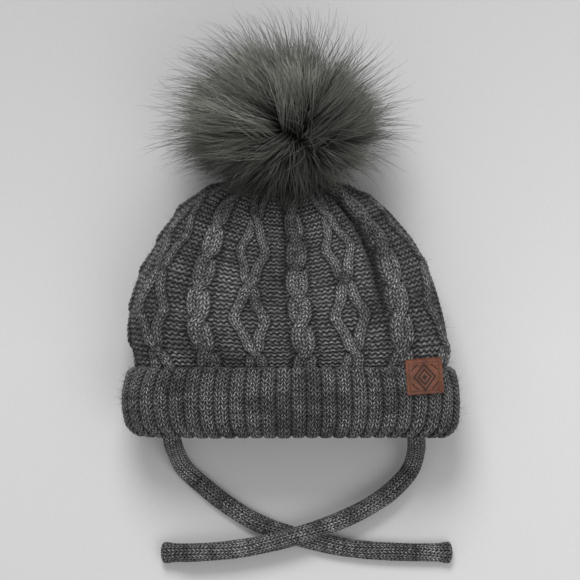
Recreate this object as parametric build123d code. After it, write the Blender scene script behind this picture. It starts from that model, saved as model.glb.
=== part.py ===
from build123d import *
from math import cos, radians, sin, sqrt, tan
import os

# Child's knitted winter hat with a turned-up ribbed cuff, a fur pom and two tie cords.
# It lies on its back: +Z is up from the surface, +Y runs from the mouth to the crown.
# The shapes are drawn with Y measured from the mouth's edge. Each saved piece is moved so that
# the origin is the middle of the flat under the cuff that the hat rests on.

# driving dimensions, mm
REST_Y = 21.3
CUFF_HEIGHT = 42.6
CUFF_HALF_WIDTH = 102.0
CUFF_HALF_DEPTH = 31.6
CUFF_MID_Z = 31.0
CUFF_BULGE = 4.5
LEAF = 5.0
FOLD_R = 5.0
INNER_LEAF_HEIGHT = 37.6
CAVITY_HALF_WIDTH = 87.5
CAVITY_HALF_DEPTH = 17.0
CROWN_WALL = 4.5
ROUNDNESS = 2.5
LINING_WALL = 2.0
LINING_GAP = 0.9
LINING_START = 10.0
HEM_STITCHES = 32
LABEL_X0 = 68.5
LABEL_X1 = 90.5
LABEL_BOTTOM = 26.0
LABEL_TOP = 46.8
LABEL_THICK = 1.2
LABEL_BACK_THICK = 0.75
LABEL_GAP = 0.3
LABEL_TILT = 4.0
POM_R = 62.0
POM_CONE_DEG = 65.0
STUFFING_R = 27.0
CROWN_HOLE_R = 6.6
TIE_WIDTH = 10.8
TIE_THICK = 6.0
TIE_SOCKET_GAP = 0.3
TIE_END_CAP = 5.0

# positions along the pom's stalk, measured from the crown's top
WASHER_S = -15.0
SHANK_S = 4.0
LOOP_TOP = 6.0

# crown outline: distance from the mouth, centre x, half width, centre z, half depth
CROWN = [
    (38.4, 0.0, 91.7, 31.0, 21.2),
    (48.0, -0.4, 91.0, 31.0, 20.6),
    (56.0, -1.2, 94.4, 31.0, 26.4),
    (67.0, -2.6, 94.6, 31.0, 30.4),
    (82.0, -3.6, 91.2, 30.6, 30.0),
    (98.0, -3.6, 86.0, 29.6, 28.4),
    (114.0, -3.8, 78.6, 29.0, 26.0),
    (128.0, -5.0, 69.5, 29.8, 22.4),
    (138.0, -6.0, 60.0, 32.2, 19.8),
    (146.0, -6.0, 47.0, 34.0, 16.4),
    (151.0, -5.5, 33.0, 35.4, 13.2),
    (153.5, -5.0, 20.0, 36.0, 11.0),
]

# the pom hangs from the middle of the crown's top and leans up from the surface
POM_ROOT = Vector(-5.0, 153.5, 36.0)
POM_CENTRE = Vector(-2.0, 187.0, 49.0)


def oval(y, cx, half_w, cz, half_d):
    """Closed superellipse outline across the hat at distance y from the mouth."""
    points = []
    for i in range(28):
        a = radians(360 * i / 28)
        c = abs(cos(a)) ** (2 / ROUNDNESS)
        s = abs(sin(a)) ** (2 / ROUNDNESS)
        x = cx + half_w * (c if cos(a) >= 0 else -c)
        z = cz + half_d * (s if sin(a) >= 0 else -s)
        points.append((x, y, z))
    return Wire([Edge.make_spline(points, periodic=True)])


def skin(sections):
    """Closed solid whose surface passes through the given oval sections."""
    return Solid.make_loft([oval(*s) for s in sections])


def cuff_bulge(y):
    """How far the cuff's outer face stands in from its widest at distance y."""
    half = CUFF_HEIGHT / 2
    inset = CUFF_BULGE * ((min(y, CUFF_HEIGHT) - half) / half) ** 2
    if y < FOLD_R:
        inset += FOLD_R - sqrt(FOLD_R**2 - (FOLD_R - y) ** 2)
    return inset


def cuff_skin(rows, inward):
    """The cuff's outer face moved inward by a constant distance."""
    sections = []
    for y in rows:
        inset = cuff_bulge(y) + inward
        sections.append((y, 0.0, CUFF_HALF_WIDTH - inset, CUFF_MID_Z, CUFF_HALF_DEPTH - inset))
    return skin(sections)


def cuff_top_z(x, y, outward):
    """Height of the cuff's upper face at (x, y), moved out by a distance."""
    inset = cuff_bulge(y) - outward
    half_w = CUFF_HALF_WIDTH - inset
    half_d = CUFF_HALF_DEPTH - inset
    return CUFF_MID_Z + half_d * (1 - abs(x / half_w) ** ROUNDNESS) ** (1 / ROUNDNESS)


def crown_sections(inward):
    """The crown's outline moved inward; the top section moves back by the same distance."""
    out = []
    for y, cx, w, cz, d in CROWN:
        top = max(0.0, (y - 128.0) / (153.5 - 128.0))
        out.append((y - inward * top, cx, w - inward, cz, d - inward * (1 - 0.45 * top)))
    return out


def hollow(inward):
    """The hat's hollow, from the lining's lower edge to the crown's top, moved inward."""
    w = CAVITY_HALF_WIDTH - inward
    d = CAVITY_HALF_DEPTH - inward
    rows = [LINING_START + 4.0 * i for i in range(7)]
    band_rows = [(y, 0.0, w, CUFF_MID_Z, d) for y in rows]
    return skin(band_rows + crown_sections(CROWN_WALL + inward))


def block(x0, x1, y0, y1, z0, z1):
    """Axis-aligned block given by its limits."""
    centre = ((x0 + x1) / 2, (y0 + y1) / 2, (z0 + z1) / 2)
    return Pos(*centre) * Box(x1 - x0, y1 - y0, z1 - z0)


def above_floor(shape, floor=0.0):
    """Keeps only what lies above a level plane."""
    return shape & block(-200, 200, -200, 400, floor, 300)


def save(shape, name):
    """Writes one sub-part, as a single solid or a group of equal solids."""
    solids = shape.solids()
    body = solids[0] if len(solids) == 1 else Compound(children=list(solids))
    body = Pos(0, -REST_Y, 0) * body
    body.label = name
    export_step(body, "parts/" + name + ".step")


os.makedirs("parts", exist_ok=True)

# ---------------------------------------------------------------- cuff and crown

# turned-up band: outer leaf, bottom fold and inner leaf in one piece
outer_rows = [0.25, 0.9, 2.0, 3.4, 5.0, 10.0, 16.0, 21.3, 27.0, 33.0, 38.0, CUFF_HEIGHT]
band = cuff_skin(outer_rows, 0.0)
mouth = []
for y in outer_rows[:-1] + [CUFF_HEIGHT + 3.0]:
    flare = 0.0
    if y < FOLD_R:
        flare = FOLD_R - sqrt(FOLD_R**2 - (FOLD_R - y) ** 2)
    mouth.append((y, 0.0, CAVITY_HALF_WIDTH + flare, CUFF_MID_Z, CAVITY_HALF_DEPTH + flare))
band = band - skin(mouth)
pocket_outer = cuff_skin([4.6, 10.0, 16.0, 21.3, 27.0, 33.0, 38.0, 42.0, 44.0], LEAF)
inner_leaf = skin(
    [
        (y, 0.0, CAVITY_HALF_WIDTH + CROWN_WALL, CUFF_MID_Z, CAVITY_HALF_DEPTH + CROWN_WALL)
        for y in (0.0, INNER_LEAF_HEIGHT / 2, INNER_LEAF_HEIGHT)
    ]
)
band = band - (pocket_outer - inner_leaf)
cuff = above_floor(band)
save(cuff, "turn_up_cuff")

# crown wall: closed skin with an open bottom and a gathered hole in the top
stalk = (POM_CENTRE - POM_ROOT).normalized()
stalk_plane = Plane(origin=POM_ROOT, x_dir=(1, 0, 0), z_dir=stalk)
hole = stalk_plane * Pos(0, 0, -12) * Cylinder(CROWN_HOLE_R, 30)
crown_outer = skin(crown_sections(0.0))
crown = above_floor(crown_outer - hollow(0.0) - hole, 0.4)
save(crown, "crown_knit")

# linking row between the band's inner leaf and the crown
seam_ring = skin(
    [
        (y, 0.0, CAVITY_HALF_WIDTH + 3.2, CUFF_MID_Z, CAVITY_HALF_DEPTH + 3.2)
        for y in (INNER_LEAF_HEIGHT + 0.1, INNER_LEAF_HEIGHT + 0.4, INNER_LEAF_HEIGHT + 0.7)
    ]
)
seam_core = skin(
    [
        (y, 0.0, CAVITY_HALF_WIDTH + 1.2, CUFF_MID_Z, CAVITY_HALF_DEPTH + 1.2)
        for y in (INNER_LEAF_HEIGHT - 1, INNER_LEAF_HEIGHT + 0.4, INNER_LEAF_HEIGHT + 2)
    ]
)
save(seam_ring - seam_core, "cuff_link_seam")

# lining: a thin cap inside the crown that ends inside the band
lining_hole = stalk_plane * Pos(0, 0, -12) * Cylinder(CROWN_HOLE_R + 0.2, 30)
lining = hollow(LINING_GAP) - hollow(LINING_GAP + LINING_WALL) - lining_hole
save(lining, "fleece_lining")

# hem stitches that hold the lining's lower edge to the band, one bar every few degrees
hem = []
for i in range(HEM_STITCHES):
    a = radians(360 * (i + 0.5) / HEM_STITCHES)
    c = abs(cos(a)) ** (2 / ROUNDNESS) * (1 if cos(a) >= 0 else -1)
    s = abs(sin(a)) ** (2 / ROUNDNESS) * (1 if sin(a) >= 0 else -1)
    x = (CAVITY_HALF_WIDTH - 1.6) * c
    z = CUFF_MID_Z + (CAVITY_HALF_DEPTH - 1.6) * s
    hem.append(Pos(x, LINING_START - 2.0, z) * Rot(90, 0, 0) * Cylinder(0.5, 3.2))
save(Compound(children=hem), "lining_hem_stitch")

# thread that gathers the last row of stitches round the hole in the crown's top
gather = Pos(POM_ROOT.X, POM_ROOT.Y + 0.85, POM_ROOT.Z) * Rot(90, 0, 0) * Torus(8.0, 0.6)
save(gather, "crown_gather_thread")

# ---------------------------------------------------------------- leather label

label_rows = [20.0, 25.0, 30.0, 35.0, 40.0, 44.0, 48.0]
turn = Pos(79.5, 36, 0) * Rot(0, 0, LABEL_TILT) * Pos(-79.5, -36, 0)


def label_zone(y0, y1):
    """Upright prism over the label's outline between two distances from the mouth."""
    return turn * block(LABEL_X0, LABEL_X1, y0, y1, CUFF_MID_Z + 2, 90)


# the label folds over the band's free edge: a front leaf, a top fold and a thin back leaf
back_gap = LEAF + 0.35
outside = cuff_skin(label_rows, -LABEL_GAP - LABEL_THICK)
under_front = cuff_skin(label_rows, -LABEL_GAP)
over_back = cuff_skin(label_rows, back_gap)
inside = cuff_skin(label_rows, back_gap + LABEL_BACK_THICK)
label = (outside - inside) & label_zone(LABEL_BOTTOM, LABEL_TOP)
label = label - ((under_front - over_back) & label_zone(0, LABEL_TOP - LABEL_THICK))
label = label - (over_back & label_zone(0, CUFF_HEIGHT - 3.0))
save(label, "leather_label")

# saddle stitches along the label's two sides
stitches = []
for side in (LABEL_X0 + 1.8, LABEL_X1 - 1.8):
    for i in range(6):
        y = LABEL_BOTTOM + 2.6 + 2.6 * i
        p = turn * Pos(side, y, 0)
        x = p.position.X
        yy = p.position.Y
        z = cuff_top_z(x, yy, LABEL_GAP + LABEL_THICK) + 0.75
        stitches.append(Pos(x, yy, z) * Rot(0, 0, LABEL_TILT) * Rot(90, 0, 0) * Cylinder(0.3, 1.7))
save(Compound(children=stitches), "label_stitches")

# ---------------------------------------------------------------- pom

# washer inside the crown, below the hole, that the elastic loop's knot pulls against
washer = stalk_plane * Pos(0, 0, WASHER_S) * (Cylinder(6.7, 1.6) - Cylinder(5.0, 3))
save(washer, "pom_anchor_washer")

# elastic loop: two strands through the washer and the hole, joined by a bar outside
LOOP_HALF = 3.0
STRAND_R = 0.9
knot = Pos(0, 0, WASHER_S - 7.7) * Sphere(5.8)
strands = []
for side in (-1, 1):
    length = LOOP_TOP - (WASHER_S - 7.7)
    mid = (LOOP_TOP + WASHER_S - 7.7) / 2
    strands.append(Pos(side * LOOP_HALF, 0, mid) * Cylinder(STRAND_R, length))
    strands.append(Pos(side * LOOP_HALF, 0, LOOP_TOP) * Sphere(STRAND_R))
bar = Pos(0, 0, LOOP_TOP) * Rot(0, 90, 0) * Cylinder(STRAND_R, 2 * LOOP_HALF)
loop = knot + bar
for strand in strands:
    loop = loop + strand
save(stalk_plane * loop, "pom_elastic_loop")

# felt base disc with a thread shank linked through the loop
shank = Pos(0, 0, SHANK_S + 3.8) * Rot(0, 90, 0) * Torus(3.8, 0.7)
disc = Pos(0, 0, 10.4) * Cylinder(10.0, 1.8)
base = (disc + shank) & Cylinder(12, 22.6)
save(stalk_plane * base, "pom_base_disc")

# pelt: hollow ball of fur, flattened where it rests and coned where it faces the crown
POM_S = (POM_CENTRE - POM_ROOT).length
cone_len = 120.0
cone = Pos(0, 0, SHANK_S + cone_len / 2) * Cone(0.01, cone_len * tan(radians(POM_CONE_DEG)), cone_len)
stuffing_shape = (Pos(0, 0, POM_S) * Sphere(STUFFING_R)) & (Pos(0, 0, 60 + 14.6) * Box(90, 90, 120))
stuffing_room = (Pos(0, 0, POM_S) * Sphere(STUFFING_R + 0.4)) & (Pos(0, 0, 60 + 14.2) * Box(90, 90, 120))
disc_room = Pos(0, 0, 6.0) * Cylinder(10.8, 12.0 + 4.4)
pelt = ((Pos(0, 0, POM_S) * Sphere(POM_R)) & cone) - stuffing_room - disc_room
pelt = above_floor(stalk_plane * pelt)
save(pelt, "pom_pelt")
save(stalk_plane * stuffing_shape, "pom_stuffing")
save(stalk_plane * Pos(0, 0, 12.7) * Torus(7.5, 0.8), "pom_gather_thread")

# ---------------------------------------------------------------- tie cords

NOSE_R = TIE_WIDTH / 2
SOCKET_R = NOSE_R + TIE_SOCKET_GAP

LEFT_Z = 0.2 + TIE_THICK / 2
RIGHT_Z = LEFT_Z + TIE_THICK + 0.5
LEFT_PATH = [
    (-65.0, -19.5), (-52.2, -31.5), (-37.8, -42.6), (-21.6, -52.2), (-3.0, -59.4),
    (17.4, -65.0), (38.0, -68.6), (64.2, -70.6), (98.0, -71.0),
]
RIGHT_PATH = [
    (72.5, -20.0), (61.2, -33.0), (45.6, -43.6), (24.0, -53.6), (3.6, -60.6),
    (-16.2, -65.6), (-36.6, -69.0), (-56.4, -70.6), (-79.0, -71.0),
]
PIVOTS = [0.0, 0.3, 0.64]


def cord_curve(path, z):
    """Level centre line of a cord."""
    return Edge.make_spline([(x, y, z) for x, y in path])


def cord_piece(curve, start, stop):
    """Oval cord along part of a level curve."""
    part = curve.trim(start, stop)
    plane = Plane(origin=part @ 0, x_dir=Vector(0, 0, 1).cross(part % 0), z_dir=part % 0)
    return sweep(plane * Ellipse(TIE_WIDTH / 2, TIE_THICK / 2), path=part)


def nose(curve, at):
    """Rounded end of a cord piece, turned about the upright line through the pivot."""
    p = curve @ at
    flat = Solid.make_sphere(1.0)
    squashed = flat.transform_geometry(
        Matrix(
            [
                [NOSE_R, 0, 0, p.X],
                [0, NOSE_R, 0, p.Y],
                [0, 0, TIE_THICK / 2, p.Z],
            ]
        )
    )
    return squashed


def socket(curve, at):
    """Upright round cutter that clears the previous piece's nose."""
    p = curve @ at
    return Pos(p.X, p.Y, p.Z) * Cylinder(SOCKET_R, TIE_THICK + 2)


def tie(side, path, z, root_points):
    """One knitted tie: fixed root, three swinging pieces, an end seam and a root bartack."""
    curve = cord_curve(path, z)
    names = ["upper", "middle", "lower"]
    stops = PIVOTS[1:] + [1.0 - TIE_END_CAP / curve.length]
    for i in range(3):
        piece = cord_piece(curve, PIVOTS[i], stops[i])
        if i < 2:
            piece = piece + nose(curve, stops[i])
        piece = piece - socket(curve, PIVOTS[i])
        save(piece, side + "_tie_" + names[i])
    cap = cord_piece(curve, stops[2] + 0.15 / curve.length, 1.0)
    save(cap, side + "_tie_end_seam")
    first = curve % 0
    points = [Vector(*p) for p in root_points] + [curve @ 0]
    root_edge = Edge.make_spline(points, tangents=[(0, -1, 0), (first.X, first.Y, 0)])
    plane = Plane(origin=root_edge @ 0, x_dir=(1, 0, 0), z_dir=(0, -1, 0))
    root = sweep(plane * Ellipse(TIE_WIDTH / 2, TIE_THICK / 2), path=root_edge, is_frenet=False)
    root = root + nose(curve, 0.0)
    save(root, side + "_tie_root")
    tack = []
    for i in range(4):
        p = root_points[0]
        spot = Pos(p[0] - 3.6 + 2.4 * i, p[1] + 2.2, p[2])
        tack.append(spot * Rot(90, 0, 0) * Cylinder(0.7, 3.2))
    save(Compound(children=tack), side + "_tie_bartack")


tie(
    "left", LEFT_PATH, LEFT_Z,
    [(-71.0, 20.0, 29.0), (-72.0, 8.0, 28.5), (-71.5, -2.0, 24.0), (-69.0, -11.0, 12.0)],
)
tie(
    "right", RIGHT_PATH, RIGHT_Z,
    [(72.5, 20.0, 29.0), (74.0, 8.0, 28.5), (75.5, -2.0, 25.0), (75.2, -11.0, 15.5)],
)
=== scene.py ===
import bpy
import math
import numpy as np
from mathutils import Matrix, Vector


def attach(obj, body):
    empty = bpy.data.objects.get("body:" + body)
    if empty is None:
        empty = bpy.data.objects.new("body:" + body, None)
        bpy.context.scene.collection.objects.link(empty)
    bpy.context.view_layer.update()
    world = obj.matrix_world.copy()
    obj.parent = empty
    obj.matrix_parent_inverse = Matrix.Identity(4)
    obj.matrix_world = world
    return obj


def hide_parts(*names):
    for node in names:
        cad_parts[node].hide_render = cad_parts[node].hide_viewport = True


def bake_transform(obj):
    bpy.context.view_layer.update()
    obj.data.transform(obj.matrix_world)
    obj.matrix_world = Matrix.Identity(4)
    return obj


# Looks for the knitted hat. Every soft CAD piece is replaced by a mesh with its real surface;
# the small pieces keep their CAD shape and get a material. Lengths are in millimetres with Y
# measured from the mouth's edge, and to_frame() turns them into metres in the CAD frame.

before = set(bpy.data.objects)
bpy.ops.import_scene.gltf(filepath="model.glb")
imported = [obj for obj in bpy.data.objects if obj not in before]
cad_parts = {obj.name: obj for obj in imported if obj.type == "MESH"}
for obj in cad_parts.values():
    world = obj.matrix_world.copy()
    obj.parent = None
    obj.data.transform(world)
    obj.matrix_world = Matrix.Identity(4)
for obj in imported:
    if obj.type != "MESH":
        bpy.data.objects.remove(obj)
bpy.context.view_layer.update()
rng = np.random.default_rng(7)

MM = 0.001
TAU = 2 * math.pi
REST_Y = 21.3  # distance of the CAD origin from the mouth's edge


# ------------------------------------------------------------------ mesh helpers

def to_frame(points):
    """Millimetres from the mouth's edge to metres in the CAD frame."""
    return (np.asarray(points, float) - (0.0, REST_Y, 0.0)) * MM


def flatten(value):
    """Point data of a grid as one row per point; vectors keep their three numbers."""
    return value.reshape(-1, 3) if value.ndim == 3 else value.reshape(-1)


def make_mesh(name, points, quads, attributes=None, uv=None):
    """Smooth mesh object from a grid of millimetre points and four-cornered faces."""
    points = points.reshape(-1, 3)
    mesh = bpy.data.meshes.new(name)
    mesh.vertices.add(len(points))
    mesh.vertices.foreach_set("co", to_frame(points).astype(np.float32).ravel())
    quads = np.asarray(quads, np.int32)
    mesh.loops.add(quads.size)
    mesh.loops.foreach_set("vertex_index", quads.ravel())
    mesh.polygons.add(len(quads))
    mesh.polygons.foreach_set("loop_start", np.arange(0, quads.size, 4, dtype=np.int32))
    mesh.polygons.foreach_set("use_smooth", np.full(len(quads), True))
    mesh.update(calc_edges=True)
    for key, value in (attributes or {}).items():
        value = flatten(value)
        kind, field = ("FLOAT_VECTOR", "vector") if value.ndim == 2 else ("FLOAT", "value")
        layer = mesh.attributes.new(key, kind, "POINT")
        layer.data.foreach_set(field, value.astype(np.float32).ravel())
    if uv is not None:
        layer = mesh.uv_layers.new(name="OFBake")
        layer.data.foreach_set("uv", uv[quads.ravel()].astype(np.float32).ravel())
    mesh.validate()
    obj = bpy.data.objects.new(name, mesh)
    bpy.context.scene.collection.objects.link(obj)
    return obj


def dress(obj, material, slot, body, *nodes):
    """Gives a piece its material and the body it rides, and hides the CAD nodes it stands in for."""
    obj.data.materials.append(material)
    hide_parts(*nodes)
    if body:
        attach(obj, body)


def sheet_uv(rows, cols, right=0.99):
    """Flat layout that fills the texture square, rows first."""
    u, v = np.meshgrid(np.linspace(0.01, right, cols), np.linspace(0.01, 0.99, rows))
    return np.stack([u, v], -1).reshape(-1, 2)


def grid_quads(rows, cols, wrap=False):
    """Corner numbers of a grid whose points are stored row by row."""
    i = np.arange(rows - 1)[:, None]
    j = np.arange(cols if wrap else cols - 1)[None, :]
    k = (j + 1) % cols
    corners = [i * cols + j, i * cols + k, (i + 1) * cols + k, (i + 1) * cols + j]
    return np.stack(corners, -1).reshape(-1, 4)


def grid_normals(points, wrap):
    """Unit normals of a grid of points, rows first."""
    du = np.gradient(points, axis=0)
    if wrap:
        dv = (np.roll(points, -1, 1) - np.roll(points, 1, 1)) / 2
    else:
        dv = np.gradient(points, axis=1)
    return unit(np.cross(du, dv))


def panels(name, points, attributes, count):
    """A closed grid cut into side-by-side strips, each its own object."""
    rows, cols = points.shape[:2]
    edges = np.linspace(0, cols, count + 1).round().astype(int)
    made = []
    for k in range(count):
        pick = np.arange(edges[k], edges[k + 1] + 1) % cols
        data = {key: value[:, pick] for key, value in attributes.items()}
        quads = grid_quads(rows, len(pick))
        made.append(make_mesh(f"{name}_{k + 1}", points[:, pick], quads, data,
                              sheet_uv(rows, len(pick))))
    return made


def unit(v):
    return v / np.maximum(np.linalg.norm(v, axis=-1, keepdims=True), 1e-9)


def hermite(table, y):
    """Smooth columns of a table whose first column is y."""
    table = np.asarray(table, float)
    x = table[:, 0]
    slopes = np.gradient(table[:, 1:], x, axis=0)
    y = np.clip(y, x[0], x[-1])
    k = np.clip(np.searchsorted(x, y, side="right") - 1, 0, len(x) - 2)
    h = (x[k + 1] - x[k])[..., None]
    t = ((y - x[k]) / (x[k + 1] - x[k]))[..., None]
    a, b = table[k, 1:], table[k + 1, 1:]
    t2, t3 = t * t, t * t * t
    return ((2 * t3 - 3 * t2 + 1) * a + (t3 - 2 * t2 + t) * h * slopes[k]
            + (3 * t2 - 2 * t3) * b + (t3 - t2) * h * slopes[k + 1])


ROUNDNESS = 2.5  # power of the flattened oval that every ring of the hat follows


def ring(cx, half_w, cz, half_d, shares):
    """Points at even shares of the way round an oval, from its top middle towards +X."""
    a = np.linspace(0, TAU, 1441)
    s, c = np.sin(a), np.cos(a)
    x = np.sign(s) * np.abs(s) ** (2 / ROUNDNESS) * half_w
    z = np.sign(c) * np.abs(c) ** (2 / ROUNDNESS) * half_d
    run = np.concatenate([[0], np.cumsum(np.hypot(np.diff(x), np.diff(z)))])
    run = run / run[-1]
    return np.interp(shares, run, x) + cx, np.interp(shares, run, z) + cz


def path_lengths(path):
    """Distance along a path at each of its points."""
    steps = np.linalg.norm(np.diff(path, axis=0), axis=1)
    return np.concatenate([[0], np.cumsum(steps)])


def bumps(x):
    """Repeating rounded bump, 1 at whole numbers and 0 half way."""
    return 0.5 + 0.5 * np.cos(TAU * x)


def bell(x, width):
    """Rounded peak, 1 where x is 0."""
    return np.exp(-(x / width) ** 2)


def smoothstep(low, high, x):
    t = np.clip((x - low) / (high - low), 0, 1)
    return t * t * (3 - 2 * t)


def rounded(x):
    """Quarter-circle rise from 0 at x = 0 to 1 from x = 1 on."""
    return np.sqrt(np.clip(1 - (1 - np.clip(x, 0, 1)) ** 2, 0, 1))


def value_noise(x, y, seed, period=None):
    """Smooth noise between 0 and 1 over a plane."""
    x0, y0 = np.floor(x).astype(int), np.floor(y).astype(int)

    def corner(i, j):
        if period:
            i = i % period
        h = np.sin(i * 127.1 + j * 311.7 + seed * 74.7) * 43758.5453
        return h - np.floor(h)

    fx, fy = x - x0, y - y0
    fx, fy = fx * fx * (3 - 2 * fx), fy * fy * (3 - 2 * fy)
    low = corner(x0, y0) * (1 - fx) + corner(x0 + 1, y0) * fx
    high = corner(x0, y0 + 1) * (1 - fx) + corner(x0 + 1, y0 + 1) * fx
    return low * (1 - fy) + high * fy


def sway(x, y, seed):
    """Smooth noise between -0.5 and 0.5."""
    return value_noise(x, y, seed) - 0.5


def strand_mesh(name, lines, widths, attributes):
    """Tapered three-sided strands; lines holds (strand, step, xyz)."""
    count, steps = lines.shape[:2]
    tangent = unit(np.gradient(lines, axis=1))
    side = unit(np.cross(tangent, np.array([0.31, 0.52, 0.80])))
    up = np.cross(tangent, side)
    corners = []
    for k in range(3):
        a = TAU * k / 3
        corners.append(lines + (side * math.cos(a) + up * math.sin(a)) * widths[..., None])
    points = np.stack(corners, axis=2)
    first = (np.arange(count) * steps * 3)[:, None, None] + (np.arange(steps - 1) * 3)[None, :, None]
    k = np.arange(3)[None, None, :]
    nxt = (k + 1) % 3
    quads = np.stack([first + k, first + nxt, first + 3 + nxt, first + 3 + k], -1).reshape(-1, 4)
    # flat layout: one small upright cell per strand
    per_side = int(math.ceil(math.sqrt(count)))
    cell = np.arange(count)
    u = ((cell % per_side)[:, None, None] + 0.3 + 0.2 * k) / per_side
    along = np.linspace(0, 1, steps)[None, :, None]
    v = ((cell // per_side)[:, None, None] + 0.1 + 0.8 * along) / per_side
    uv = np.stack(np.broadcast_arrays(u, v), -1).reshape(-1, 2)
    data = {key: np.repeat(value.reshape(-1), 3) for key, value in attributes.items()}
    return make_mesh(name, points, quads, data, uv)


# ------------------------------------------------------------------ materials

class Surface:
    """A procedural material being built; its methods take sockets or plain numbers."""

    def __init__(self, name):
        self.material = bpy.data.materials.new(name)
        self.material.use_nodes = True
        self.tree = self.material.node_tree
        self.tree.nodes.clear()
        out = self.node("ShaderNodeOutputMaterial")
        self.shader = self.node("ShaderNodeBsdfPrincipled")
        self.put(out.inputs["Surface"], self.shader.outputs["BSDF"])

    def node(self, kind):
        return self.tree.nodes.new(kind)

    def put(self, socket, value):
        if isinstance(value, bpy.types.NodeSocket):
            self.tree.links.new(value, socket)
        else:
            socket.default_value = value

    def attribute(self, name, output="Fac"):
        node = self.node("ShaderNodeAttribute")
        node.attribute_name = name
        return node.outputs[output]

    def place(self):
        return self.node("ShaderNodeTexCoord").outputs["Object"]

    def split(self, vector):
        node = self.node("ShaderNodeSeparateXYZ")
        self.put(node.inputs[0], vector)
        return node.outputs

    def math(self, operation, a, b=0.0, c=0.0):
        node = self.node("ShaderNodeMath")
        node.operation = operation
        for socket, value in zip(node.inputs, (a, b, c)):
            self.put(socket, value)
        return node.outputs[0]

    def times(self, first, *others):
        for other in others:
            first = self.math("MULTIPLY", first, other)
        return first

    def span(self, value, low, high, to_low=0.0, to_high=1.0, kind="LINEAR"):
        """Clamped remap of a value."""
        node = self.node("ShaderNodeMapRange")
        node.interpolation_type = kind
        for key, number in (("Value", value), ("From Min", low), ("From Max", high),
                            ("To Min", to_low), ("To Max", to_high)):
            self.put(node.inputs[key], number)
        return node.outputs["Result"]

    def ramp(self, value, low, high):
        return self.span(value, low, high, kind="SMOOTHSTEP")

    def mix(self, factor, a, b, blend="MIX"):
        """Mix of two colours, each a socket or three numbers."""
        node = self.node("ShaderNodeMix")
        node.data_type = "RGBA"
        node.blend_type = blend
        for socket, value in ((0, factor), (6, a), (7, b)):
            self.put(node.inputs[socket], (*value, 1) if isinstance(value, tuple) else value)
        return node.outputs[2]

    def noise(self, vector, scale, detail=2.0, stretch=(1, 1, 1), rough=0.5):
        mapping = self.node("ShaderNodeMapping")
        mapping.inputs["Scale"].default_value = stretch
        self.put(mapping.inputs["Vector"], vector)
        node = self.node("ShaderNodeTexNoise")
        node.inputs["Scale"].default_value = scale
        node.inputs["Detail"].default_value = detail
        node.inputs["Roughness"].default_value = rough
        self.put(node.inputs["Vector"], mapping.outputs["Vector"])
        return node.outputs["Fac"]

    def shaded(self, colour, shade):
        """Colour multiplied by one number."""
        node = self.node("ShaderNodeVectorMath")
        node.operation = "SCALE"
        self.put(node.inputs[0], colour)
        self.put(node.inputs["Scale"], shade)
        return node.outputs["Vector"]

    def relief(self, height, distance, strength):
        node = self.node("ShaderNodeBump")
        node.inputs["Strength"].default_value = strength
        node.inputs["Distance"].default_value = distance * MM
        self.put(node.inputs["Height"], height)
        self.put(self.shader.inputs["Normal"], node.outputs["Normal"])

    def finish(self, colour, rough, specular=0.5, sheen=0.0, sheen_rough=0.5):
        for key, value in (("Base Color", colour), ("Roughness", rough),
                           ("Specular IOR Level", specular), ("Sheen Weight", sheen),
                           ("Sheen Roughness", sheen_rough)):
            self.put(self.shader.inputs[key], value)
        return self.material


def yarn_material(name, dark, light, slope, stroke_dark, row_share=0.9):
    """Marled yarn. The stitch attribute holds (column, row, 1 on knit columns and 0 on purl);
    slope is the rise of a V's legs in rows, stroke_dark the painted shade between its strokes."""
    s = Surface(name)
    column, row, knit = s.split(s.attribute("stitch", "Vector"))
    fine = s.noise(s.place(), 1300, 3.0)
    # V strokes of the knit columns, with painted shade between the strokes and at the column edges
    leg = s.math("ABSOLUTE", s.math("MULTIPLY_ADD", s.math("FRACT", column), 2.0, -1.0))
    phase = s.math("SUBTRACT", row, s.times(leg, slope))
    stroke = s.span(s.math("COSINE", s.times(phase, TAU)), -0.75, 0.65)
    off_middle = s.math("ABSOLUTE", s.math("SUBTRACT", leg, 0.5))
    tube = s.span(off_middle, 0.22, 0.5, 1.0, 0.0)
    vee = s.times(s.span(stroke, 0.0, 1.0, 1.0 - row_share, 1.0), tube)
    vee_shade = s.node("ShaderNodeMix")
    s.put(vee_shade.inputs[0], knit)
    s.put(vee_shade.inputs[2], 1.0)
    s.put(vee_shade.inputs[3], s.span(vee, 0.0, 0.9, stroke_dark, 1.25))
    # plies: pale and dark fibres along the yarn
    fibre = s.noise(s.attribute("yarn", "Vector"), 1.0, 3.0, (1.3, 2.6, 1.0), 0.7)
    yarn = s.mix(s.span(fibre, 0.36, 0.62), dark, light)
    # tone is the yarn's own dye; depth is painted shade in the gaps, grooves and folds of the knit
    shade = s.times(s.attribute("tone"), s.attribute("depth"), vee_shade.outputs[0],
                    s.span(fine, 0.3, 0.7, 0.6, 1.4))
    s.relief(s.math("ADD", s.times(vee, knit), s.times(fine, 0.5)), 0.6, 0.7)
    return s.finish(s.shaded(yarn, shade), 0.92, 0.12, 0.10, 0.6)


KNIT = yarn_material("marled_knit", (0.030, 0.030, 0.031), (0.225, 0.225, 0.225), 1.1, 0.07, 0.85)
RIB = yarn_material("marled_rib", (0.011, 0.011, 0.012), (0.192, 0.192, 0.192), 1.25, 0.0, 0.95)
CORD = yarn_material("marled_cord", (0.016, 0.016, 0.017), (0.350, 0.350, 0.350), 1.1, 0.04)


def fibre_material():
    """Loose wool fibres that stand off the knit."""
    s = Surface("loose_fibre")
    return s.finish(s.mix(s.attribute("fibre"), (0.05, 0.05, 0.051), (0.34, 0.34, 0.34)), 0.9)


FIBRE = fibre_material()
FIBRE_WIDTH = 0.055
FIBRE_TAPER = np.array([[1.0, 1.0, 0.9, 0.7, 0.3]])


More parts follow.
